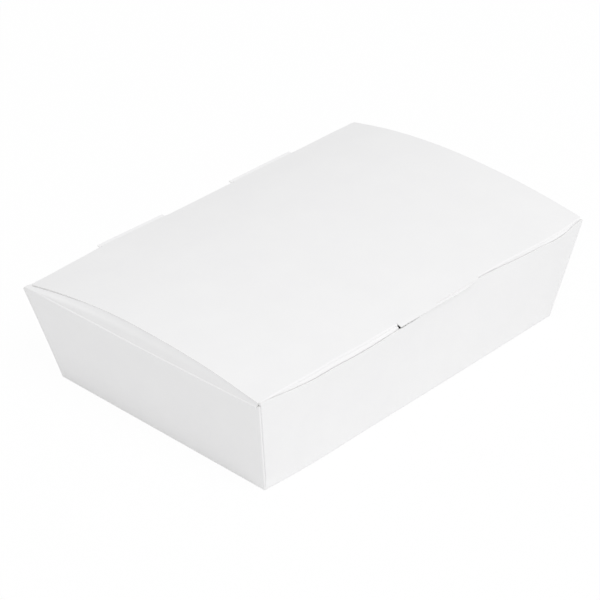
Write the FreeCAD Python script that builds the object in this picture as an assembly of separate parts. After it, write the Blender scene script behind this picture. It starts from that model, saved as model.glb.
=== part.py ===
import FreeCAD, Part
import math
import os

os.makedirs("parts", exist_ok=True)

# Takeout food box folded from one sheet of paperboard.
# Millimetres. Origin at the middle of the underside of the base, +X along the box,
# +Y towards the hinge, +Z up.

V = FreeCAD.Vector

# Sheet
board = 0.5
ply_gap = 0.15
play = 0.3
fold_steps = 6

# Tray: the walls lean outwards, so the rim is larger than the base
top_l = 220.0
top_w = 148.0
base_l = 196.0
base_w = 132.0
height = 50.5
base_fold_r = 1.0
corner_fold_low_r = 0.7
corner_fold_top_r = 1.4

# Corner webs: folded double along a diagonal and glued inside the short walls
web_low_w = 1.7
web_top_drop = 1.3
web_top_start = 2.0
relief_hole_r = 0.7
relief_hole_in = 1.6
relief_hole_down = 1.0

# Lid: an arched panel hinged on the rear rim
lid_inset = 1.3
lid_sagitta = 7.5
lid_front_rise = 2.0
crease_r = 0.5

# Tabs that stand out past the hinge, cut out of the rear wall
rear_tab_w = 42.0
rear_tab_pitch = 87.0
rear_tab_l = 2.5
rear_tab_rise = 3.0

# Front tab, cut out of the tuck flap, and the tuck flap itself
front_tab_left = -21.0
front_tab_right = 35.0
front_tab_l = 3.2
tuck_gap = 0.4
tuck_h = 18.0
tuck_end_inset = 2.0
tuck_end_slope = 18.0
tuck_corner_r = 6.0
cut_gap = 0.15

# Dust flaps on the short walls, bowed up against the underside of the lid
flap_band = 1.0
flap_end = 2.5
flap_reach = 30.0
flap_shoulder_in = 4.5
flap_shoulder_end = 6.5
flap_tip_end = 14.0
flap_corner_r = 5.0
flap_sections = 9

# Derived sizes
lean_x = (top_l - base_l) / 2 / height
lean_y = (top_w - base_w) / 2 / height
lid_l = top_l - 2 * lid_inset
bead_r = board + ply_gap / 2
web_in = 3 * board + 2 * ply_gap
hinge_y = top_w / 2 - board / 2
hinge_z = height + board / 2 + play
front_z = height + lid_front_rise - board / 2
lean_angle_y = math.atan(lean_y)

# The web is half of the angle that is left between the two walls in the flat sheet
edge_angle_long = math.atan(lean_x / math.hypot(1, lean_y))
edge_angle_short = math.atan(lean_y / math.hypot(1, lean_x))
web_angle = (math.pi / 2 - edge_angle_long - edge_angle_short) / 2
web_lean = web_angle - edge_angle_short
web_top_w = height * math.hypot(1, lean_x) * math.tan(web_lean) + height * lean_y


def half_size(z):
    """Half length and half width of the outside of the tray at height z."""
    return base_l / 2 + lean_x * z, base_w / 2 + lean_y * z


def turn(centre_u, centre_v, radius, start, end):
    """Points along a rounded fold, as short flats between two angles in degrees."""
    points = []
    for i in range(fold_steps + 1):
        angle = math.radians(start + (end - start) * i / fold_steps)
        points.append((centre_u + radius * math.cos(angle), centre_v + radius * math.sin(angle)))
    return points


def ring_points(z, web_w, fold_r, outside):
    """One level of the walls and webs: the outside or the inside face of the sheet.

    Each corner is drawn with u across the short wall and v across the long wall,
    both measured inwards from the outside of the tray.
    """
    a, b = half_size(z)
    between = 2 * board + 2 * ply_gap
    middle = 2 * board + 1.5 * ply_gap
    if outside:
        line = turn(bead_r, bead_r, bead_r, 180, 360)
        line += [(2 * bead_r, web_w), (between, web_w)]
        line += turn(between + fold_r, fold_r, fold_r, 180, 270)
    else:
        line = [(board, bead_r), (board + ply_gap, bead_r)]
        line += turn(middle, web_w, bead_r, 180, 0)
        line += turn(between + fold_r, fold_r, fold_r - board, 180, 270)
    points = []
    for sx, sy in ((-1, -1), (1, -1), (1, 1), (-1, 1)):
        corner = [V(sx * (a - u), sy * (b - v), z) for u, v in line]
        points.extend(corner if sx * sy > 0 else corner[::-1])
    return points


def skin(low, top):
    """Solid between two level outlines whose matching sides are parallel."""
    faces = [Part.Face(Part.makePolygon(p + p[:1])) for p in (low[::-1], top)]
    for i in range(len(low)):
        side = [low[i - 1], low[i], top[i], top[i - 1], low[i - 1]]
        faces.append(Part.Face(Part.makePolygon(side)))
    return Part.Solid(Part.Shell(faces))


def wall_ring():
    """Walls, rounded corner folds and double webs between the base fold and the rim."""
    solids = []
    for outside in (True, False):
        low = ring_points(base_fold_r, web_low_w, corner_fold_low_r, outside)
        top = ring_points(height, web_top_w, corner_fold_top_r, outside)
        solids.append(skin(low, top))
    return solids[0].cut(solids[1])


def frustum(inset, floor, roof, fold_r):
    """Tapered block that follows the walls, with its lower edges rounded."""
    levels = []
    for z in (floor, roof):
        a, b = half_size(z)
        a -= inset
        b -= inset
        levels.append([V(-a, -b, z), V(a, -b, z), V(a, b, z), V(-a, b, z)])
    block = skin(*levels)
    low = [e for e in block.Edges if all(abs(p.Point.z - floor) < 1e-6 for p in e.Vertexes)]
    return block.makeFillet(fold_r, low)


def base_pan():
    """Base panel with the rounded folds that lead up into the four walls."""
    roof = 6 * base_fold_r
    outer = frustum(0, 0, roof, base_fold_r)
    inner = frustum(board, board, roof, base_fold_r - board)
    slab = Part.makeBox(2 * top_l, 2 * top_w, base_fold_r, V(-top_l, -top_w, 0))
    return outer.cut(inner).common(slab)


def lid_arc(front_y):
    """Centre, radius and end angles of the middle of the arched lid."""
    hinge = V(0, hinge_y, hinge_z)
    front = V(0, front_y, front_z)
    chord = front - hinge
    radius = (chord.Length ** 2 / 4 + lid_sagitta ** 2) / (2 * lid_sagitta)
    down = V(0, chord.z, -chord.y) / chord.Length * -1
    centre = (hinge + front) * 0.5 + down * (radius - lid_sagitta)
    hinge_angle = math.atan2(hinge.z - centre.z, hinge.y - centre.y)
    front_angle = math.atan2(front.z - centre.z, front.y - centre.y)
    return centre, radius, hinge_angle, front_angle


def front_crease_y():
    """Where the lid ends, so that the tuck flap clears the front wall by tuck_gap."""
    y = -top_w / 2
    for _ in range(8):
        front_angle = lid_arc(y)[3]
        centre_y = -crease_r * math.cos(front_angle)
        tuck_mid_y = centre_y - crease_r * math.cos(lean_angle_y)
        centre_z = front_z - crease_r * math.sin(front_angle)
        tuck_z = centre_z - crease_r * math.sin(lean_angle_y)
        wall_y = board - base_w / 2 - lean_y * tuck_z
        y = wall_y + tuck_gap + board / 2 / math.cos(lean_angle_y) - tuck_mid_y
    return y


front_y = front_crease_y()
lid_centre, lid_r, hinge_angle, front_angle = lid_arc(front_y)


def polar(angle, radius, x):
    """Point at an angle and radius from the centre line of the lid's arch."""
    y = lid_centre.y + radius * math.cos(angle)
    return V(x, y, lid_centre.z + radius * math.sin(angle))


def sector(centre, inner, outer, start, end, x0, x1):
    """Ring sector in the YZ plane, swept along X."""
    middle = (start + end) / 2

    def at(angle, radius):
        return V(x0, centre.y + radius * math.cos(angle), centre.z + radius * math.sin(angle))

    edges = [
        Part.Arc(at(start, outer), at(middle, outer), at(end, outer)).toShape(),
        Part.makeLine(at(end, outer), at(end, inner)),
        Part.Arc(at(end, inner), at(middle, inner), at(start, inner)).toShape(),
        Part.makeLine(at(start, inner), at(start, outer)),
    ]
    return Part.Face(Part.Wire(edges)).extrude(V(x1 - x0, 0, 0))


def plate(start, direction, length, x0, x1):
    """Flat strip of board in the YZ plane with its middle on a line, swept along X."""
    side = V(0, -direction.z, direction.y) * (board / 2)
    end = start + direction * length
    points = [start + side, end + side, end - side, start - side, start + side]
    for point in points:
        point.x = x0
    return Part.Face(Part.makePolygon(points)).extrude(V(x1 - x0, 0, 0))


def rounded(points, radii):
    """Closed wire through points in one plane, with a radius at each corner."""
    edges = []
    ends = []
    count = len(points)
    for i, point in enumerate(points):
        back = (points[i - 1] - point).normalize()
        ahead = (points[(i + 1) % count] - point).normalize()
        radius = radii[i]
        if radius == 0:
            ends.append((point, None, point))
            continue
        half = back.getAngle(ahead) / 2
        reach = radius / math.tan(half)
        bisector = (back + ahead).normalize()
        middle = point + bisector * (radius / math.sin(half) - radius)
        ends.append((point + back * reach, middle, point + ahead * reach))
    for i, (first, middle, last) in enumerate(ends):
        if middle is not None:
            edges.append(Part.Arc(first, middle, last).toShape())
        edges.append(Part.makeLine(last, ends[(i + 1) % count][0]))
    return Part.Wire(edges)


def flap_height(y):
    """Height of the top of a dust flap above the rim, play below the lid."""
    under = lid_r - board / 2 - play
    return lid_centre.z + math.sqrt(under ** 2 - (y - lid_centre.y) ** 2) - height


def offset_line(points, distance):
    """Open line in the plane moved sideways to the right, mitred at its bends."""
    moved = []
    normals = []
    for (x0, y0), (x1, y1) in zip(points, points[1:]):
        length = math.hypot(x1 - x0, y1 - y0)
        normals.append(((y1 - y0) / length, (x0 - x1) / length))
    for i, (x, y) in enumerate(points):
        n0 = normals[max(i - 1, 0)]
        n1 = normals[min(i, len(normals) - 1)]
        scale = distance / (1 + n0[0] * n1[0] + n0[1] * n1[1])
        moved.append((x + (n0[0] + n1[0]) * scale, y + (n0[1] + n1[1]) * scale))
    return moved


def flap_section(y):
    """Cross-section of a dust flap: up from the wall, over two bends and in under the lid."""
    rise = flap_height(y)
    outer = [
        (lean_x * flap_band, -flap_band),
        (0, 0),
        (0.9 - 0.05 * rise, 0.42 * rise),
        (1.8 + 0.33 * rise, rise),
        (flap_reach, rise),
    ]
    inner = offset_line(outer, board)
    inner[0] = (outer[0][0] + board, outer[0][1])
    loop = outer + inner[::-1]
    points = [V(u - top_l / 2, y, height + z) for u, z in loop]
    return Part.makePolygon(points + points[:1])


def dust_flap():
    """Left dust flap with the top band of its wall, trimmed to its outline."""
    end_y = top_w / 2 - flap_end
    levels = [end_y * (2 * i / (flap_sections - 1) - 1) for i in range(flap_sections)]
    body = Part.makeLoft([flap_section(y) for y in levels], True, False)
    half = top_w / 2
    side = [
        (-1.0, half - flap_end + 1),
        (1.2, half - flap_end + 1),
        (1.2, half - flap_end),
        (flap_shoulder_in, half - flap_shoulder_end),
        (flap_reach, half - flap_tip_end),
    ]
    outline = side + [(u, -y) for u, y in reversed(side)]
    radii = [0, 0, 0, 0, flap_corner_r]
    points = [V(u - top_l / 2, y, height - 10) for u, y in outline]
    wire = rounded(points, radii + radii[::-1])
    return body.common(Part.Face(wire).extrude(V(0, 0, 40)))


def mirrored(shape, normal):
    return shape.mirror(V(0, 0, 0), normal)


def web_trims():
    """Cuts that give the webs their sloping upper edges, and the relief holes."""
    tools = []
    slope = math.tan(web_lean)
    run = web_top_w + 4 * board
    low = height - web_top_drop
    outline = [
        (web_top_start, height + 5),
        (web_top_start, low),
        (web_top_start + run, low - run * slope),
        (web_top_start + run, height + 5),
    ]
    points = []
    for v, z in outline:
        a, b = half_size(z)
        points.append(V(-a + board + ply_gap / 2, v - top_w / 2, z))
    points.append(points[0])
    wedge = Part.Face(Part.makePolygon(points)).extrude(V(web_in + board, 0, 0))
    hole_z = height - relief_hole_down
    hole_start = V(-top_l / 2 - 1, relief_hole_in - top_w / 2, hole_z)
    hole = Part.makeCylinder(relief_hole_r, 1 + web_in + board, hole_start, V(1, 0, 0))
    for shape in (wedge, hole):
        for sx in (False, True):
            for sy in (False, True):
                tool = mirrored(shape, V(1, 0, 0)) if sx else shape
                tools.append(mirrored(tool, V(0, 1, 0)) if sy else tool)
    return tools


def tray():
    """Base, walls, webs and dust flaps: the part of the sheet that stays still."""
    shape = wall_ring().fuse(base_pan())
    band_y = top_w / 2 - flap_end
    left_band = Part.makeBox(
        board + ply_gap / 2 + 1, 2 * band_y, flap_band + 1,
        V(-top_l / 2 - 1, -band_y, height - flap_band))
    bands = [left_band, mirrored(left_band, V(1, 0, 0))]
    notches = []
    for side in (-1, 1):
        width = rear_tab_w + 2 * play
        depth = rear_tab_l + play - (hinge_z - height)
        x0 = side * rear_tab_pitch / 2 - width / 2
        notches.append(Part.makeBox(
            width, 8, depth + 1, V(x0, top_w / 2 - 5, height - depth)))
    shape = shape.cut(bands + web_trims() + notches)
    flap = dust_flap()
    shape = shape.fuse([flap, mirrored(flap, V(1, 0, 0))])
    return shape.removeSplitter()


def tuck_outline(start, direction):
    """Block that trims the tuck flap to its tapered, round-cornered outline."""
    half = lid_l / 2 - tuck_end_inset
    narrow = math.tan(math.radians(tuck_end_slope)) * tuck_h
    foot = start + direction * tuck_h
    head = start - direction * 3
    points = [
        V(-half, head.y, head.z),
        V(-half, start.y, start.z),
        V(-half + narrow, foot.y, foot.z),
        V(half - narrow, foot.y, foot.z),
        V(half, start.y, start.z),
        V(half, head.y, head.z),
    ]
    wire = rounded(points, [0, 0, tuck_corner_r, tuck_corner_r, 0, 0])
    normal = V(0, -direction.z, direction.y)
    face = Part.Face(wire)
    face.translate(normal * -5)
    return face.extrude(normal * 10)


def lid():
    """Arched panel with its hinge edge, tabs, front crease and tuck flap."""
    half = lid_l / 2
    inner = lid_r - board / 2
    outer = lid_r + board / 2
    panel = sector(lid_centre, inner, outer, hinge_angle, front_angle, -half, half)
    hinge_start = V(-half, hinge_y, hinge_z)
    pieces = [Part.makeCylinder(board / 2, lid_l, hinge_start, V(1, 0, 0))]
    rise = math.radians(rear_tab_rise)
    out = V(0, math.cos(rise), math.sin(rise))
    for side in (-1, 1):
        middle = side * rear_tab_pitch / 2
        x0 = middle - rear_tab_w / 2
        pieces.append(plate(V(0, hinge_y, hinge_z), out, rear_tab_l, x0, x0 + rear_tab_w))

    # The front crease turns the sheet down to run parallel to the front wall
    crease_mid = polar(front_angle, lid_r - crease_r, 0)
    down_angle = math.pi + lean_angle_y
    crease = sector(
        crease_mid, crease_r - board / 2, crease_r + board / 2,
        front_angle, down_angle, -half, half)
    tuck_start = crease_mid + V(0, math.cos(down_angle), math.sin(down_angle)) * crease_r
    tuck_way = V(0, math.sin(lean_angle_y), -math.cos(lean_angle_y))
    tuck = plate(tuck_start, tuck_way, tuck_h, -half, half)
    front = crease.fuse(tuck).common(tuck_outline(tuck_start, tuck_way))

    # The tab leaves a notch of its own shape in the tuck flap
    notch = Part.makeBox(
        front_tab_right - front_tab_left + 2 * cut_gap, 6, front_tab_l + 4,
        V(front_tab_left - cut_gap, -3, -front_tab_l - cut_gap))
    notch.rotate(V(0, 0, 0), V(1, 0, 0), math.degrees(lean_angle_y))
    notch.translate(V(0, tuck_start.y, tuck_start.z))
    lid_end = polar(front_angle, lid_r, 0)
    guard = sector(
        lid_centre, inner - 4, outer + 4, hinge_angle, front_angle, -top_l, top_l)
    front = front.cut(notch.cut(guard))
    tab_way = V(0, -math.sin(front_angle), math.cos(front_angle))
    if tab_way.y > 0:
        tab_way = tab_way * -1
    pieces.append(plate(lid_end, tab_way, front_tab_l, front_tab_left, front_tab_right))
    return panel.fuse(pieces + [front]).removeSplitter()


for name, shape in (("tray", tray()), ("lid", lid())):
    shape.exportStep("parts/" + name + ".step")
    box = shape.BoundBox
    print(name, "solids", len(shape.Solids), "valid", shape.isValid(), "volume", round(shape.Volume, 1))
    print("  x", round(box.XMin, 2), round(box.XMax, 2), "y", round(box.YMin, 2), round(box.YMax, 2),
          "z", round(box.ZMin, 2), round(box.ZMax, 2), "faces", len(shape.Faces))
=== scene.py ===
import bisect
import math

import bpy
from mathutils import Matrix, Vector


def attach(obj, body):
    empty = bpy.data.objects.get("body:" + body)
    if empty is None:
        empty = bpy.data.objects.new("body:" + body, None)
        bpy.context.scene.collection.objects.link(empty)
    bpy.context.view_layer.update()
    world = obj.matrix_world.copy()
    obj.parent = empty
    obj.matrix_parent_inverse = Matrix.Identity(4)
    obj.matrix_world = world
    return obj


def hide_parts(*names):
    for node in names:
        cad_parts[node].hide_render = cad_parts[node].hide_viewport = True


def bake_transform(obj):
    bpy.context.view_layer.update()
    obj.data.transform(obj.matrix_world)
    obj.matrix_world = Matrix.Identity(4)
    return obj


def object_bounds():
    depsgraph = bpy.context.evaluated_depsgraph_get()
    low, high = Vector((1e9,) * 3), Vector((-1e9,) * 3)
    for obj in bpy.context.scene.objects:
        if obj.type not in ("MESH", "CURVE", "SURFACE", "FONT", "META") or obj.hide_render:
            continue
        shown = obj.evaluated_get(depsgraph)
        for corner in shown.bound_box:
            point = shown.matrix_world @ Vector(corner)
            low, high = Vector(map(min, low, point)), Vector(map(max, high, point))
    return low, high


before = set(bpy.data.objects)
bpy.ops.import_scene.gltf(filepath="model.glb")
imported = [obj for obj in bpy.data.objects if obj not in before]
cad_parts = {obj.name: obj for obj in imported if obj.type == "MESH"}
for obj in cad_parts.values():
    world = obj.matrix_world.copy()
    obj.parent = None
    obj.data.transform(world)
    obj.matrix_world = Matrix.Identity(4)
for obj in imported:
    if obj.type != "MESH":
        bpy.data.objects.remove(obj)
cad_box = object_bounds()

# Sizes are in millimetres until a mesh is made. The sheet is drawn by its outside face
# and thickened inwards.
MM = 0.001
BOARD = 0.5
PLY_GAP = 0.12

# Tray
TOP_L, TOP_W = 220.0, 148.0
BASE_L, BASE_W = 196.0, 132.0
HEIGHT = 50.5
BASE_FOLD_R = 0.6
BASE_RISE = 0.25
LEAN_X = (TOP_L - BASE_L) / 2 / HEIGHT
LEAN_Y = (TOP_W - BASE_W) / 2 / HEIGHT

# Corner folds and webs
BEAD_R = BOARD + PLY_GAP / 2
BETWEEN = 2 * BOARD + 2 * PLY_GAP
FOLD_R = {(-1, -1): 0.65, (1, -1): 0.5, (-1, 1): 0.5, (1, 1): 0.5}
WEB_LOW_W, WEB_TOP_W = 1.7, 32.5
WEB_SLOPE = 0.473
WEB_TOP_DROP = 1.3
WEB_TOP_START = 2.0
WEB_FULL = 0.03
WEB_SHARES = (0, 0.022, 0.044, 0.05, 0.09, 0.16, 0.25, 0.35, 0.5, 0.65, 0.8, 0.92, 1)
FOLD_STEPS = 10
CORNER_RISE, CORNER_START = 8.0, 0.45

# Lid
LID_L = 217.4
HINGE_Y, HINGE_Z = 73.75, 51.05
FRONT_Y, FRONT_Z = -72.64, 52.25
SAGITTA = 7.5
CREASE_R = 0.5
CREASE_STEPS = 8
LID_ROWS, LID_STEPS = 56, 72
TUCK_H = 18.0
TUCK_INSET = 0.5
TUCK_PLAY = 0.2
TUCK_BEND = (0.18, 0.55)
TUCK_STRAIGHT = 60.0
TUCK_SLOPE = math.tan(math.radians(18))
TUCK_CORNER_R = 6.0
FRONT_TAB = (-21.0, 33.5)
FRONT_TAB_L = 3.2
TAB_OUT = ((-21, 2.8), (0, 2.6), (20, 2.6), (26, 2.5), (31, 1.9), (33.5, 1.2))
TAB_STEPS = 8
TAB_DOWN = ((-21, 0.75), (0, 0.6), (20, 0.6), (26, 0.55), (31, 0.45), (33.5, 0.4))
CUT_GAP = 0.15
REAR_TABS = ((-64.5, -22.5), (22.5, 64.5))
REAR_TAB_L = 3.1
REAR_TAB_RISE = math.radians(11)
NOTCH_PLAY = 0.3
NOTCH_DEPTH = 2.25
STRIP_LOW = 0.9
STRIP_ON_LID = 0.9
STRIP_END = 105.0
CORNER_CUT = {-1: 1.3, 1: 0.5}

# Dust flaps
FLAP_HALF = 71.75
FLAP_REACH = 30.0
FLAP_TIP = 5.5
FLAP_CLEAR = ((-74, 0.05), (28, 0.05), (36, 0.1), (45, 0.22), (58, 0.28), (74, 0.3))
FLAP_NEAR = ((0, 71.75), (0.45, 72.2), (0.9, 72.85), (1.4, 72.9), (2.0, 72.3),
             (4.5, 71.2), (8, 69), (30, 60))
FLAP_FAR = ((0, 71.75), (0.5, 73.0), (4.5, 72.9), (7, 70.5), (9, 68.7), (30, 60))

# How the folded board departs from its ideal shape. Most tables give a shift at places along an edge.
LOW_SHIFT = {(-1, -1): (-1.79, -0.75), (1, -1): (-0.2, 0.3), (-1, 1): (0.6, 0.05), (1, 1): (0, 0)}
FRONT_HIGH_X, FRONT_HIGH_Y = (0.87, -0.3), (0.34, 0.25)
FRONT_LIFT = (1.46, 0.02)
FRONT_BAND = 12.0
FRONT_RIM = ((-110, 0.6), (-100, -0.6), (-89, -2.0), (-76, -3.1), (-62, -3.0), (-48, -3.4), (-35, -3.1),
             (-21, -2.2), (-8, -1.5), (0, -0.5), (6, 0.5), (20, 0.7), (36, 0.8), (43, 0.5), (50, 0),
             (58, -0.6), (67, -1.2), (81, -1.8), (87, -2.3), (94, -2.1), (99, -1.2), (104, 0), (110, 0.9))
FRONT_LOW = ((-98, 0), (-90, -0.5), (-80, -1.0), (-60, -1.3), (-32, -0.95), (-5, -0.85), (22, -0.7),
             (50, -0.5), (78, -0.2), (98, 0))
FRONT_BOW = ((-110, 0), (-89, -0.2), (-71, -0.5), (-54, -0.6), (-33, -0.78), (-23, -0.86), (5, -0.5),
             (20, -0.5), (36, -0.25), (59, 0), (80, -0.6), (87, -0.95), (94, -0.85), (104, -0.35),
             (110, -0.1))
BOW_SAG = 0.9
HINGE_WAVE = ((-110, -1.5), (-106, -1.45), (-100, -1.4), (-95, -1.25), (-85, -0.85), (-76, -0.6),
              (-66, -0.1), (-40, -0.5), (-20, -0.9), (22, -0.93), (68, -1.04), (93, -0.97),
              (106, -1.2), (110, -1.2))
REAR_RIM = ((-110, -1.18), (-107, -1.15), (-103, -1.3), (-95, -1.3), (-85, -0.9), (-76, -0.6),
            (-66, -0.1), (-40, -0.5), (-20, -0.9), (22, -0.93), (68, -1.04), (93, -0.97),
            (106, -1.2), (110, -1.2))
REAR_TOP = ((-110, 1.1), (-106, 0.7), (-100, 0.15), (-96, 0), (-82, -0.33), (-55, -0.62), (110, -0.84))
FRONT_CREASE = ((-109, 1.2), (-99, 1.5), (-89, 1.5), (-76, 1.25), (-62, 1.5), (-48, 1.1), (-35, 1.0),
                (-21, 1.1), (0, 0.9), (20, 0.9), (36, 1.4), (54, 1.35), (67, 0.85), (81, 0.2),
                (95, 0.35), (101, 0.9), (109, 1.4))
RIM_LEFT = ((-74, 0), (-70, -0.5), (-30, -0.45), (0, -0.35), (15, 0.1), (38, 0.75), (50, 0.9),
            (62, 1.25), (72.4, 1.35), (74, -0.3))
RIM_DROP_LEFT, RIM_DROP_RIGHT = 1.83, 0.5
LID_LEFT = ((-73, -0.4), (-62, -0.75), (-50, -0.65), (-12, -0.9), (14, -0.55), (40, -0.5),
            (60, -0.3), (74, 0))
LID_RIGHT = ((-73, 0.1), (-60, -0.2), (-47, -0.36), (-34, -0.52), (-14, -0.7), (5, -0.52), (24, -0.43),
             (44, -0.26), (66, -0.15), (74, 0.1))
LID_SAG = 0.55
LID_REAR_X, LID_FRONT_X = (1.79, 0.8), (0.26, -0.07)
LID_REAR_Y = (-0.6, -0.84)
LID_FRONT_Z = (0.21, -0.3)


def mix(a, b, share):
    return a + (b - a) * share


def curve(table, x):
    """Smooth curve through a few (place, value) pairs."""
    places = [p for p, _ in table]
    x = min(max(x, places[0]), places[-1])
    i = min(max(bisect.bisect(places, x) - 1, 0), len(table) - 2)

    def slope(k):
        low, high = max(k - 1, 0), min(k + 1, len(table) - 1)
        return (table[high][1] - table[low][1]) / (table[high][0] - table[low][0])

    (x0, v0), (x1, v1) = table[i], table[i + 1]
    run = x1 - x0
    t = (x - x0) / run
    return (v0 * (1 + 2 * t) * (1 - t) ** 2 + v1 * t * t * (3 - 2 * t)
            + run * (slope(i) * t * (1 - t) ** 2 - slope(i + 1) * t * t * (1 - t)))


def turn(u, v, radius, start, end, steps=FOLD_STEPS):
    """Points along an arc between two angles in degrees."""
    angles = [math.radians(mix(start, end, i / steps)) for i in range(steps + 1)]
    return [(u + radius * math.cos(a), v + radius * math.sin(a)) for a in angles]


class Sheet:
    """The outside face of the folded board, gathered as rows of points."""

    def __init__(self):
        self.places = {}
        self.points = []
        self.faces = []

    def corner(self, point):
        key = tuple(round(c, 4) for c in point)
        if key not in self.places:
            self.places[key] = len(self.points)
            self.points.append(Vector(point) * MM)
        return self.places[key]

    def face(self, points):
        corners = []
        for point in points:
            index = self.corner(point)
            if index not in corners:
                corners.append(index)
        if len(corners) > 2:
            self.faces.append(corners)

    def strip(self, low, high):
        for i in range(len(low) - 1):
            self.face((low[i], low[i + 1], high[i + 1], high[i]))

    def build(self, name):
        """The thickened board, with its cut edges in the second material."""
        mesh = bpy.data.meshes.new(name)
        mesh.from_pydata(self.points, [], self.faces)
        mesh.materials.append(board_face)
        mesh.materials.append(board_edge)
        obj = bpy.data.objects.new(name, mesh)
        bpy.context.scene.collection.objects.link(obj)
        thicken = obj.modifiers.new("board", "SOLIDIFY")
        thicken.thickness = BOARD * MM
        thicken.offset = -1
        thicken.material_offset_rim = 1
        shown = obj.evaluated_get(bpy.context.evaluated_depsgraph_get())
        obj.data = bpy.data.meshes.new_from_object(shown)
        obj.modifiers.clear()
        low, high = cad_box
        for vertex in obj.data.vertices:
            vertex.co = [min(max(c, a + 1e-6), b - 1e-6) for c, a, b in zip(vertex.co, low, high)]
        obj.data.name = name
        obj.data.shade_smooth()
        obj.data.set_sharp_from_angle(angle=math.radians(40))
        return obj


# Materials

def node(tree, kind, **values):
    made = tree.nodes.new(kind)
    for key, value in values.items():
        if key in made.inputs:
            made.inputs[key].default_value = value
        else:
            setattr(made, key, value)
    return made


def board_material(name, dark, light, roughness, grain, bump):
    """Uncoated white board: soft mottle, fine fibres and a barely uneven face."""
    material = bpy.data.materials.new(name)
    material.use_nodes = True
    tree = material.node_tree
    shader = tree.nodes["Principled BSDF"]
    shader.inputs["Roughness"].default_value = roughness
    shader.inputs["Specular IOR Level"].default_value = 0.25
    place = node(tree, "ShaderNodeTexCoord")
    stretch = node(tree, "ShaderNodeMapping", Scale=grain)
    tree.links.new(place.outputs["Object"], stretch.inputs["Vector"])
    cloud = node(tree, "ShaderNodeTexNoise", Scale=55, Detail=4, Roughness=0.6)
    fibre = node(tree, "ShaderNodeTexNoise", Scale=1400, Detail=3, Roughness=0.55)
    tree.links.new(place.outputs["Object"], cloud.inputs["Vector"])
    tree.links.new(stretch.outputs["Vector"], fibre.inputs["Vector"])
    both = node(tree, "ShaderNodeMath", operation="MULTIPLY_ADD")
    both.inputs[1].default_value = 0.35
    tree.links.new(fibre.outputs["Fac"], both.inputs[0])
    tree.links.new(cloud.outputs["Fac"], both.inputs[2])
    tint = node(tree, "ShaderNodeValToRGB")
    tint.color_ramp.elements[0].position = 0.35
    tint.color_ramp.elements[0].color = (*dark, 1)
    tint.color_ramp.elements[1].position = 0.95
    tint.color_ramp.elements[1].color = (*light, 1)
    tree.links.new(both.outputs["Value"], tint.inputs["Fac"])
    tree.links.new(tint.outputs["Color"], shader.inputs["Base Color"])
    relief = node(tree, "ShaderNodeBump", Strength=bump, Distance=0.0001)
    tree.links.new(fibre.outputs["Fac"], relief.inputs["Height"])
    tree.links.new(relief.outputs["Normal"], shader.inputs["Normal"])
    return material


board_face = board_material("board_face", dark=(0.865, 0.863, 0.868), light=(0.885, 0.884, 0.886),
                            roughness=0.62, grain=(1, 1, 1), bump=0.15)
board_edge = board_material("board_edge", dark=(0.845, 0.84, 0.835), light=(0.88, 0.877, 0.874),
                            roughness=0.8, grain=(1, 1, 3), bump=0.4)


# Lid surface

def lid_arc():
    """Centre, radius and end angles of the arched panel, in the YZ plane."""
    run, rise = FRONT_Y - HINGE_Y, FRONT_Z - HINGE_Z
    chord = math.hypot(run, rise)
    radius = (chord ** 2 / 4 + SAGITTA ** 2) / (2 * SAGITTA)
    drop = radius - SAGITTA
    y = (HINGE_Y + FRONT_Y) / 2 + rise / chord * drop
    z = (HINGE_Z + FRONT_Z) / 2 + run / chord * drop
    return (y, z, radius, math.atan2(HINGE_Z - z, HINGE_Y - y), math.atan2(FRONT_Z - z, FRONT_Y - y))


ARC_Y, ARC_Z, ARC_R, HINGE_ANGLE, FRONT_ANGLE = lid_arc()
ARC_LENGTH = ARC_R * (FRONT_ANGLE - HINGE_ANGLE)


def lid_shift(x, y):
    """How far a point of the panel lies from the ideal arch."""
    across = (x + LID_L / 2) / LID_L
    ahead = min(max((HINGE_Y - y) / (HINGE_Y - FRONT_Y), 0), 1)
    shift_x = mix(mix(*LID_REAR_X, across), mix(*LID_FRONT_X, across), ahead)
    left = curve(LID_LEFT, y) * (1 - across) ** 2
    right = curve(LID_RIGHT, y) * across ** 2
    edges = left + right - 4 * across * (1 - across) * LID_SAG * math.sin(math.pi * ahead)
    hinge = curve(HINGE_WAVE, x) * (1 - ahead) ** 5
    shift_y = mix(*LID_REAR_Y, across) * (1 - ahead) ** 4
    front = (curve(FRONT_CREASE, x) + mix(*LID_FRONT_Z, across)) * ahead ** 3
    return Vector((shift_x, shift_y, edges + hinge + front))


def lid_point(x, distance):
    """Point of the top face, by its distance from the hinge over the arch."""
    if distance < 0:
        y = HINGE_Y - distance * math.cos(REAR_TAB_RISE)
        z = HINGE_Z + BOARD / 2 - distance * math.sin(REAR_TAB_RISE)
    else:
        angle = HINGE_ANGLE + distance / ARC_R
        y = ARC_Y + (ARC_R + BOARD / 2) * math.cos(angle)
        z = ARC_Z + (ARC_R + BOARD / 2) * math.sin(angle)
    return Vector((x, y, z)) + lid_shift(x, y)


def under_lid(x, y):
    """Height of the underside of the lid above a place."""
    y = min(max(y, FRONT_Y), HINGE_Y)
    z = ARC_Z + math.sqrt((ARC_R - BOARD / 2) ** 2 - (y - ARC_Y) ** 2)
    return z + lid_shift(x, y).z


# Tray

def half_size(z):
    """Half length and half width of the outside at height z, with the base fold rounded."""
    sizes = []
    for base, lean in ((BASE_L / 2, LEAN_X), (BASE_W / 2, LEAN_Y)):
        tilt = math.atan(lean)
        if z < BASE_FOLD_R * (1 - math.sin(tilt)):
            middle = base + lean * BASE_FOLD_R - BASE_FOLD_R / math.cos(tilt)
            sizes.append(middle + math.sqrt(BASE_FOLD_R ** 2 - (BASE_FOLD_R - z) ** 2))
        else:
            sizes.append(base + lean * z)
    return sizes


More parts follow.
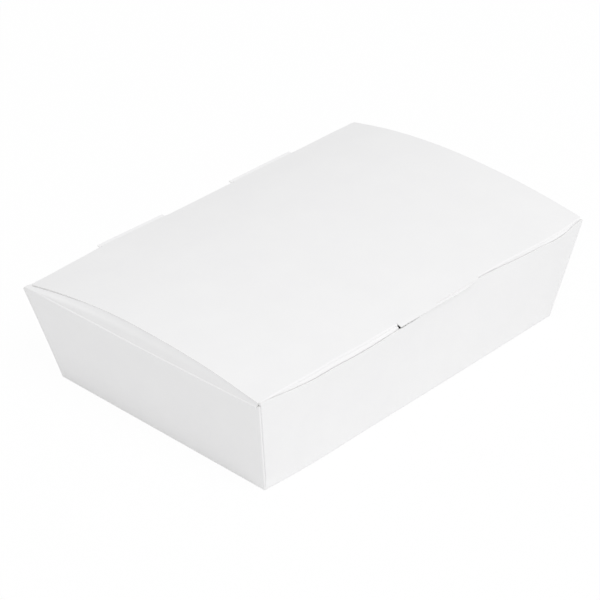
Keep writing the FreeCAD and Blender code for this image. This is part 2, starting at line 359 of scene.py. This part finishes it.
def corner_size(z):
    """Share of its full size that a corner has at height z: its folds meet in a point."""
    rise = min(z / CORNER_RISE, 1)
    return mix(CORNER_START, 1, rise * rise * (3 - 2 * rise))


def corner_line(z, radius):
    """Outside face round a corner, u across the short wall and v across the long wall."""
    width = WEB_LOW_W + (WEB_TOP_W - WEB_LOW_W) * max(z - BASE_FOLD_R, 0) / (HEIGHT - BASE_FOLD_R)
    line = turn(BEAD_R, BEAD_R, BEAD_R, 180, 360)
    line += [(2 * BEAD_R, mix(BEAD_R, width, t)) for t in WEB_SHARES[1:]]
    line += turn(BETWEEN - PLY_GAP / 2, width, PLY_GAP / 2, 180, 0)[1:]
    line += [(BETWEEN, mix(radius, width, t)) for t in WEB_SHARES[-2::-1]]
    line += turn(BETWEEN + radius, radius, radius, 180, 270)[1:]
    size = corner_size(z)
    return [(u * size, v * size) for u, v in line]


def short_rim(sx, y):
    """Height of the crease of a dust flap before the tray's own shift."""
    ahead = (TOP_W / 2 - y) / TOP_W
    return HEIGHT - RIM_DROP_LEFT * ahead + curve(RIM_LEFT, y) if sx < 0 else HEIGHT - RIM_DROP_RIGHT


def web_top(share, lower):
    """Height of the sloping upper edge of a web, part way across it."""
    grow = (WEB_TOP_W - WEB_LOW_W) / (HEIGHT - BASE_FOLD_R)
    high = HEIGHT - lower - WEB_TOP_DROP + WEB_SLOPE * WEB_TOP_START
    return (high - WEB_SLOPE * share * (WEB_LOW_W - grow)) / (1 + WEB_SLOPE * share * grow)


def corner_tops(sx, sy):
    """Upper edge at each point of a corner line."""
    short = short_rim(sx, sy * TOP_W / 2)
    web = [web_top(t, HEIGHT - short) if t > WEB_FULL else None for t in WEB_SHARES]
    tops = [short] * (FOLD_STEPS + 1)
    tops += [z or short for z in web[1:]]
    tops += [web[-1]] * FOLD_STEPS
    tops += [z or HEIGHT for z in web[-2::-1]]
    return tops + [HEIGHT] * FOLD_STEPS


def tray_shift(x, y, z):
    """How far a point of the tray lies from the ideal one."""
    s = min(max((x + TOP_L / 2) / TOP_L, 0), 1)
    t = min(max((y + TOP_W / 2) / TOP_W, 0), 1)
    up = z / HEIGHT
    low = [mix(mix(LOW_SHIFT[-1, -1][i], LOW_SHIFT[1, -1][i], s),
               mix(LOW_SHIFT[-1, 1][i], LOW_SHIFT[1, 1][i], s), t) for i in (0, 1)]
    high_x = mix(mix(*FRONT_HIGH_X, s), 0, t)
    high_y = mix(mix(*FRONT_HIGH_Y, s), curve(REAR_TOP, x), t)
    near = max(1 - (y + half_size(z)[1]) / FRONT_BAND, 0) ** 2
    bow = curve(FRONT_BOW, x) * near * up ** 2
    bow += curve(FRONT_LOW, x) * near * max(1 - up, 0) ** 2
    rim = (curve(FRONT_RIM, x) - BOW_SAG * curve(FRONT_BOW, x)) * near * up ** 3
    wave = rim + (mix(*FRONT_LIFT, s) * (1 - t) + curve(REAR_RIM, x) * t) * up
    return Vector((mix(low[0], high_x, up), mix(low[1], high_y, up) + bow, wave))


def tray_point(x, y, z):
    return Vector((x, y, z)) + tray_shift(x, y, z)


WALL_ROWS = 20
SHORT_STEPS, LONG_STEPS = 44, 72
PAIR_HALF, PAIR_CLEAR = 0.02, 0.8
FOLD_ROWS = (0, 0.06, 0.2, 0.4, 0.62, 0.84)
RELIEF = ((1.6, 0), (1.65, 0.3), (1.75, 0.5), (1.9, 0.6), (2.05, 0.5), (2.15, 0.3), (2.2, 0))
GROOVE = ((0.57, 0), (0.64, 0.3), (0.76, 0.5), (0.95, 0.5), (1.1, 0.3), (1.2, 0))


def short_columns():
    """Places along a short wall, each with the depth of the relief hole and of the groove there."""
    places = [(mix(-FLAP_HALF, FLAP_HALF, i / SHORT_STEPS), 0, 0) for i in range(SHORT_STEPS + 1)]
    for side in (-1, 1):
        places += [(side * (TOP_W / 2 - v), drop, 0) for v, drop in RELIEF]
        places += [(side * (TOP_W / 2 - v), 0, depth if side > 0 else 0) for v, depth in GROOVE]
    return sorted(places)


SHORT_COLUMNS = short_columns()
LONG_HALF = TOP_L / 2 - BETWEEN - 1


def in_notch(x):
    return any(a - NOTCH_PLAY < x < b + NOTCH_PLAY for a, b in REAR_TABS)


def long_columns():
    """Places along a long wall, with a pair at each end of a notch."""
    ends = [-STRIP_END, STRIP_END]
    for a, b in REAR_TABS:
        ends += [a - NOTCH_PLAY, b + NOTCH_PLAY]
    places = [e + d for e in ends for d in (-PAIR_HALF, PAIR_HALF)]
    for i in range(1, LONG_STEPS):
        x = mix(-LONG_HALF, LONG_HALF, i / LONG_STEPS)
        if all(abs(x - p) > PAIR_CLEAR for p in places):
            places.append(x)
    return sorted(places)


LONG_COLUMNS = long_columns()


def rear_top(x):
    if in_notch(x):
        return HEIGHT - NOTCH_DEPTH
    return HEIGHT - STRIP_LOW if abs(x) < STRIP_END else HEIGHT


def heights(top):
    last = FOLD_ROWS[-1]
    return list(FOLD_ROWS) + [mix(last, top, i / WALL_ROWS) for i in range(1, WALL_ROWS + 1)]


def short_wall(sx):
    columns = []
    for y, drop, groove in SHORT_COLUMNS:
        share = y / (TOP_W / 2 - BEAD_R)
        column = []
        for z in heights(short_rim(sx, y) - drop):
            a, b = half_size(z)
            column.append(tray_point(sx * (a - groove), share * (b - BEAD_R * corner_size(z)), z))
        columns.append(column)
    return columns


def long_wall(sy):
    columns = []
    for x in LONG_COLUMNS:
        top = HEIGHT if sy < 0 else rear_top(x)
        column = []
        for z in heights(top):
            a, b = half_size(z)
            inner = a - (BETWEEN + FOLD_R[1 if x > 0 else -1, sy]) * corner_size(z)
            column.append(tray_point(x / LONG_HALF * inner, sy * b, z))
        columns.append(column)
    return columns


def corner_columns(sx, sy):
    columns = []
    for i, top in enumerate(corner_tops(sx, sy)):
        column = []
        for z in heights(top):
            a, b = half_size(z)
            u, v = corner_line(z, FOLD_R[sx, sy])[i]
            column.append(tray_point(sx * (a - u), sy * (b - v), z))
        columns.append(column)
    return columns


def rounded_path(points, reaches, steps):
    """Open line through points, each inner bend eased over its reach."""
    path = [points[0]]
    for back, bend, ahead, reach in zip(points, points[1:], points[2:], reaches):
        a = bend + (back - bend).normalized() * min(reach, (back - bend).length * 0.48)
        b = bend + (ahead - bend).normalized() * min(reach, (ahead - bend).length * 0.48)
        for i in range(steps + 1):
            t = i / steps
            path.append(a * (1 - t) ** 2 + bend * 2 * t * (1 - t) + b * t * t)
    last = path[-1]
    return path + [mix(last, points[-1], i / 6) for i in range(1, 7)]


def flap_half(u, table):
    """Half width of a dust flap at a distance in from its crease."""
    tip = max(u - (FLAP_REACH - FLAP_TIP), 0) / FLAP_TIP
    return curve(table, u) - FLAP_TIP * (1 - math.sqrt(max(1 - tip * tip, 0)))


def flap_column(sx, y):
    """A dust flap from its crease, up to the edge of the lid and in under it."""
    rim = short_rim(sx, y)
    start = tray_point(sx * (BASE_L / 2 + LEAN_X * rim), y, rim)
    edge = sx * LID_L / 2 + lid_shift(sx * LID_L / 2, start.y).x
    reach = max(sx * (start.x - edge) - 0.02, 0.5)
    clear = curve(FLAP_CLEAR, y) if sx < 0 else FLAP_CLEAR[0][1]
    rise = under_lid(start.x - sx * reach, start.y) - clear - start.z
    profile = [Vector((LEAN_X * 3, -3)), Vector((0, 0)), Vector((0.42, min(0.44, 0.3 * rise))),
               Vector((0.48, 0.54 * rise)), Vector((mix(0.48, reach, 0.6), 0.74 * rise)),
               Vector((reach, rise)), Vector((FLAP_REACH, rise))]
    path = rounded_path(profile, (0.15, 0.35, 1.5, 1.5, 0.3), 6)
    table = FLAP_FAR if y > 0 else FLAP_NEAR
    column = []
    for u, z in path[1:]:
        share = flap_half(u, table) / FLAP_HALF
        x = start.x - sx * u
        place = start.y * share
        high = under_lid(x, place) - clear - start.z
        level = z * (high / rise if z > 0 else 1)
        column.append(Vector((x, place, start.z + level)))
    return column


def make_tray():
    sheet = Sheet()
    left, right = short_wall(-1), short_wall(1)
    front, rear = long_wall(-1), long_wall(1)
    near_left, near_right = corner_columns(-1, -1), corner_columns(1, -1)
    far_left, far_right = corner_columns(-1, 1), corner_columns(1, 1)
    for side, sx in ((left, -1), (right, 1)):
        for column, (y, drop, groove) in zip(side, SHORT_COLUMNS):
            if abs(y) <= FLAP_HALF:
                flap = flap_column(sx, y)
                column[-1] = flap[0]
                column.extend(flap[1:])
    ring = (left[::-1] + near_left + front + near_right[::-1]
            + right + far_right + rear[::-1] + far_left[::-1])
    ring.append(ring[0])
    level = len(heights(HEIGHT))
    for row in range(level - 1):
        sheet.strip([c[row] for c in ring], [c[row + 1] for c in ring])
    for side in (left[::-1], right):
        flaps = [c for c in side if len(c) > level]
        for row in range(level - 1, len(flaps[0]) - 1):
            sheet.strip([c[row] for c in flaps], [c[row + 1] for c in flaps])
    base_panel(sheet, left, front, near_left, near_right, far_left, far_right, right, rear)
    return sheet.build("tray_sheet")


def base_panel(sheet, left, front, near_left, near_right, far_left, far_right, right, rear):
    """The base, from the lowest row of the walls."""
    xs = [c[0].x for c in front]
    ys = [c[0].y for c in left]

    def inner(i, j):
        bottom, top = front[i][0], rear[i][0]
        t = (left[j][0].y - ys[0]) / (ys[-1] - ys[0])
        x = mix(bottom.x, top.x, t)
        s = (front[i][0].x - xs[0]) / (xs[-1] - xs[0])
        y = mix(left[j][0].y, right[j][0].y, s)
        return Vector((x, y, BASE_RISE * 16 * s * (1 - s) * t * (1 - t)))

    grid = [[inner(i, j) for i in range(len(front))] for j in range(len(left))]
    for low, high in zip(grid, grid[1:]):
        sheet.strip(high, low)
    last = len(front) - 1
    sheet.strip(grid[0], [c[0] for c in front])
    sheet.strip([c[0] for c in rear], grid[-1])
    sheet.strip([c[0] for c in left], [row[0] for row in grid])
    sheet.strip([row[last] for row in grid], [c[0] for c in right])
    for middle, side, corner, end in (
            (grid[0][0], left[0], near_left, front[0]),
            (grid[-1][last], right[-1], far_right, rear[last])):
        rim = [side[0]] + [c[0] for c in corner] + [end[0]]
        for a, b in zip(rim, rim[1:]):
            sheet.face((middle, b, a))
    for middle, side, corner, end in (
            (grid[0][last], right[0], near_right, front[last]),
            (grid[-1][0], left[-1], far_left, rear[0])):
        rim = [side[0]] + [c[0] for c in corner] + [end[0]]
        for a, b in zip(rim, rim[1:]):
            sheet.face((middle, a, b))


# Lid

def lid_columns():
    """Places along the lid, with one at each end of every cut."""
    inner = LID_L / 2 - TUCK_INSET
    ends = [-inner, -STRIP_END, STRIP_END, inner, *FRONT_TAB]
    beside = [FRONT_TAB[0] - CUT_GAP, FRONT_TAB[1] + CUT_GAP]
    for a, b in REAR_TABS:
        ends += [a, b]
        beside += [a - NOTCH_PLAY, b + NOTCH_PLAY]
    places = [-LID_L / 2, LID_L / 2] + ends + beside
    for i in range(1, LID_STEPS):
        x = mix(-LID_L / 2, LID_L / 2, i / LID_STEPS)
        if all(abs(x - e) > LID_CLEAR for e in ends):
            places.append(x)
    return sorted({round(x, 3) for x in places})


LID_CLEAR = 0.7
LID_COLUMNS = lid_columns()


def in_rear_tab(x):
    return any(a - 0.01 <= x <= b + 0.01 for a, b in REAR_TABS)


def corner_cut(x):
    """How far the rear corner of the lid is set back from the hinge."""
    side = 1 if x > 0 else -1
    return CORNER_CUT[side] * max(abs(x) - STRIP_END, 0) / (LID_L / 2 - STRIP_END)


def tuck_half(depth):
    """Half length of the tuck flap at a depth below its crease."""
    half = LID_L / 2 - TUCK_INSET - max(depth, 0) * TUCK_SLOPE
    tip = max(depth - (TUCK_H - TUCK_CORNER_R), 0) / TUCK_CORNER_R
    return half - TUCK_CORNER_R * (1 - math.sqrt(max(1 - tip * tip, 0)))


DOWN_ANGLE = math.pi + math.atan(LEAN_Y)


def crease_point(x, step, depth):
    """Point of the crease at a step of its turn, or of the tuck flap at a depth below it."""
    angle = mix(FRONT_ANGLE, DOWN_ANGLE, step / CREASE_STEPS)
    mid_y = ARC_Y + (ARC_R - CREASE_R) * math.cos(FRONT_ANGLE)
    mid_z = ARC_Z + (ARC_R - CREASE_R) * math.sin(FRONT_ANGLE)
    radius = CREASE_R + BOARD / 2
    lean = math.atan(LEAN_Y)
    y = mid_y + radius * math.cos(angle) + depth * math.sin(lean)
    z = mid_z + radius * math.sin(angle) - depth * math.cos(lean)
    past = abs(x) - TUCK_STRAIGHT
    if past > 0:
        room = LID_L / 2 - TUCK_INSET - TUCK_STRAIGHT
        x = math.copysign(TUCK_STRAIGHT + past * (tuck_half(depth) - TUCK_STRAIGHT) / room, x)
    point = Vector((x, y, z)) + lid_shift(x, FRONT_Y)
    seen = max(point.z + depth * math.cos(lean) - HEIGHT - tray_shift(x, -TOP_W / 2, HEIGHT).z, 0.8)
    follow = min(max(depth / seen - TUCK_BEND[0], 0) / TUCK_BEND[1], 1)
    level = point.z - tray_shift(x, -TOP_W / 2, point.z).z
    inside = TUCK_PLAY + BOARD / math.cos(lean) - BASE_W / 2 - LEAN_Y * level
    inside += tray_shift(x, -TOP_W / 2, level).y
    point.y = mix(point.y, inside, follow * follow * (3 - 2 * follow))
    return point


TUCK_ROWS = (0, 0.5, 1.0, 1.5, 2.0, 2.6, FRONT_TAB_L + CUT_GAP, 5, 7.5, 10, 12, 13.5, 15, 16.2, 17.1,
             17.7, TUCK_H)
ROWS_CUT_FOR_TAB = CREASE_STEPS + TUCK_ROWS.index(FRONT_TAB_L + CUT_GAP)


def lid_line(x, distances):
    """A line of the panel from the rear to the front, its rear corner cut off."""
    cut = corner_cut(x)
    if cut:
        distances = [cut, STRIP_ON_LID + 0.8 * cut] + distances[2:]
    return [lid_point(x, d) for d in distances]


def tab_line(line, x):
    """The front tab, from the end of a line of the panel: it curls down over the front rim."""
    way = (line[-1] - line[-2]).normalized()
    out, down = curve(TAB_OUT, x), curve(TAB_DOWN, x)
    bend = line[-1] + way * out * 0.6
    tip = line[-1] + Vector((0, -out, -down))
    points = []
    for i in range(1, TAB_STEPS + 1):
        t = i / TAB_STEPS
        points.append(line[-1] * (1 - t) ** 2 + bend * 2 * t * (1 - t) + tip * t * t)
    return points


def tuck_line(x):
    """The front crease and the tuck flap, from the panel down."""
    line = [crease_point(x, i, 0) for i in range(CREASE_STEPS + 1)]
    return line + [crease_point(x, CREASE_STEPS, d) for d in TUCK_ROWS[1:]]


def make_lid():
    sheet = Sheet()
    low, high = FRONT_TAB
    inner = LID_L / 2 - TUCK_INSET
    rows = [0] + [mix(STRIP_ON_LID, ARC_LENGTH, i / LID_ROWS) for i in range(LID_ROWS + 1)]
    for x0, x1 in zip(LID_COLUMNS, LID_COLUMNS[1:]):
        middle = (x0 + x1) / 2
        distances = list(rows)
        if in_rear_tab(middle):
            distances = [-REAR_TAB_L, -1.6, -0.8] + distances
        elif abs(middle) < STRIP_END:
            distances = distances[1:]
        a, b = lid_line(x0, distances), lid_line(x1, distances)
        if low <= middle <= high:
            a += tab_line(a, x0)
            b += tab_line(b, x1)
        sheet.strip(a, b)
        if abs(middle) < inner:
            skip = ROWS_CUT_FOR_TAB if low - CUT_GAP < middle < high + CUT_GAP else 0
            sheet.strip(tuck_line(x0)[skip:], tuck_line(x1)[skip:])
    return sheet.build("lid_sheet")


HINGE_STEPS = 16


def make_hinge():
    """The crease between the rear wall and the lid, on both sides of the tabs and between them."""
    sheet = Sheet()
    spans = ((-STRIP_END, REAR_TABS[0][0] - NOTCH_PLAY),
             (REAR_TABS[0][1] + NOTCH_PLAY, REAR_TABS[1][0] - NOTCH_PLAY),
             (REAR_TABS[1][1] + NOTCH_PLAY, STRIP_END))
    tilt = math.atan(LEAN_Y)
    wall_r = (BASE_W / 2 + LEAN_Y * HINGE_Z - HINGE_Y) * math.cos(tilt)
    for start, end in spans:
        columns = []
        for i in range(HINGE_STEPS + 1):
            x = mix(start, end, i / HINGE_STEPS)
            column = []
            for z in (HEIGHT - STRIP_LOW, HEIGHT - STRIP_LOW / 2, HEIGHT):
                column.append(tray_point(x, BASE_W / 2 + LEAN_Y * z, z))
            for k in range(CREASE_STEPS + 1):
                turned = k / CREASE_STEPS
                angle = mix(-tilt, HINGE_ANGLE, turned)
                radius = mix(wall_r, BOARD / 2, turned)
                raw = Vector((x, HINGE_Y + radius * math.cos(angle), HINGE_Z + radius * math.sin(angle)))
                column.append(raw + mix(tray_shift(x, raw.y, HEIGHT), lid_shift(x, HINGE_Y), turned))
            for d in (0.3, 0.6, STRIP_ON_LID):
                column.append(lid_point(x, d))
            columns.append(column)
        for a, b in zip(columns, columns[1:]):
            sheet.strip(a, b)
    return sheet.build("hinge_crease")


tray_sheet = make_tray()
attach(tray_sheet, "tray")
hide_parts("tray")
lid_sheet = make_lid()
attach(lid_sheet, "lid")
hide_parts("lid")
hinge_crease = make_hinge()
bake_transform(hinge_crease)


# Camera at the photograph's angle

camera_data = bpy.data.cameras.new("camera")
camera_data.sensor_width = 36
camera_data.lens = 162
camera_data.clip_end = 100
camera = bpy.data.objects.new("camera", camera_data)
right_way = Vector((0.688635, -0.725055, -0.008772))
down_way = Vector((-0.379824, -0.350388, -0.856132))
view_way = Vector((0.617669, 0.592895, -0.516682))
camera.matrix_world = Matrix.Translation((-0.781831, -0.743930, 0.676622)) @ Matrix(
    (right_way, -down_way, -view_way)).transposed().to_4x4()
bpy.context.scene.collection.objects.link(camera)
bpy.context.scene.camera = camera


# Floor, lamps and background

FLOOR_HALF, FLOOR_Z = 20, -0.0002
FLOOR_GLOW = 0.95
SKY = 0.744


def paper_floor():
    material = bpy.data.materials.new("floor")
    material.use_nodes = True
    tree = material.node_tree
    tree.nodes.clear()
    path = node(tree, "ShaderNodeLightPath")
    seen = node(tree, "ShaderNodeMath", operation="MAXIMUM")
    seen_through = node(tree, "ShaderNodeMath", operation="MAXIMUM")
    tree.links.new(path.outputs["Is Camera Ray"], seen.inputs[0])
    tree.links.new(path.outputs["Is Glossy Ray"], seen.inputs[1])
    tree.links.new(seen.outputs["Value"], seen_through.inputs[0])
    tree.links.new(path.outputs["Is Transmission Ray"], seen_through.inputs[1])
    share = node(tree, "ShaderNodeMath", operation="MULTIPLY")
    share.inputs[1].default_value = FLOOR_GLOW
    tree.links.new(seen_through.outputs["Value"], share.inputs[0])
    matt = node(tree, "ShaderNodeBsdfDiffuse", Color=(0.95, 0.95, 0.95, 1))
    glow = node(tree, "ShaderNodeEmission", Color=(1, 1, 1, 1), Strength=1.0)
    both = node(tree, "ShaderNodeMixShader")
    tree.links.new(share.outputs["Value"], both.inputs["Fac"])
    tree.links.new(matt.outputs["BSDF"], both.inputs[1])
    tree.links.new(glow.outputs["Emission"], both.inputs[2])
    out = node(tree, "ShaderNodeOutputMaterial")
    tree.links.new(both.outputs["Shader"], out.inputs["Surface"])
    return material


floor_mesh = bpy.data.meshes.new("floor")
floor_corners = [(x * FLOOR_HALF, y * FLOOR_HALF, FLOOR_Z) for x, y in ((-1, -1), (1, -1), (1, 1), (-1, 1))]
floor_mesh.from_pydata(floor_corners, [], [(0, 1, 2, 3)])
floor_mesh.materials.append(paper_floor())
floor = bpy.data.objects.new("floor", floor_mesh)
bpy.context.scene.collection.objects.link(floor)

world = bpy.data.worlds.new("world")
bpy.context.scene.world = world
world.use_nodes = True
tree = world.node_tree
tree.nodes.clear()
path = node(tree, "ShaderNodeLightPath")
white = node(tree, "ShaderNodeBackground", Color=(1, 1, 1, 1), Strength=1.0)
sky = node(tree, "ShaderNodeBackground", Color=(1, 1, 1, 1), Strength=SKY)
pick = node(tree, "ShaderNodeMixShader")
out = node(tree, "ShaderNodeOutputWorld")
tree.links.new(path.outputs["Is Camera Ray"], pick.inputs["Fac"])
tree.links.new(sky.outputs["Background"], pick.inputs[1])
tree.links.new(white.outputs["Background"], pick.inputs[2])
tree.links.new(pick.outputs["Shader"], out.inputs["Surface"])


def lamp(name, place, size, power):
    data = bpy.data.lights.new(name, "AREA")
    data.shape = "DISK"
    data.size = size
    data.energy = power
    obj = bpy.data.objects.new(name, data)
    obj.location = place
    obj.rotation_euler = (-Vector(place)).to_track_quat("-Z", "Y").to_euler()
    bpy.context.scene.collection.objects.link(obj)


lamp("key", (-0.45, -1.8, 2.6), 2.0, 34)

bpy.context.scene.view_settings.view_transform = "Standard"
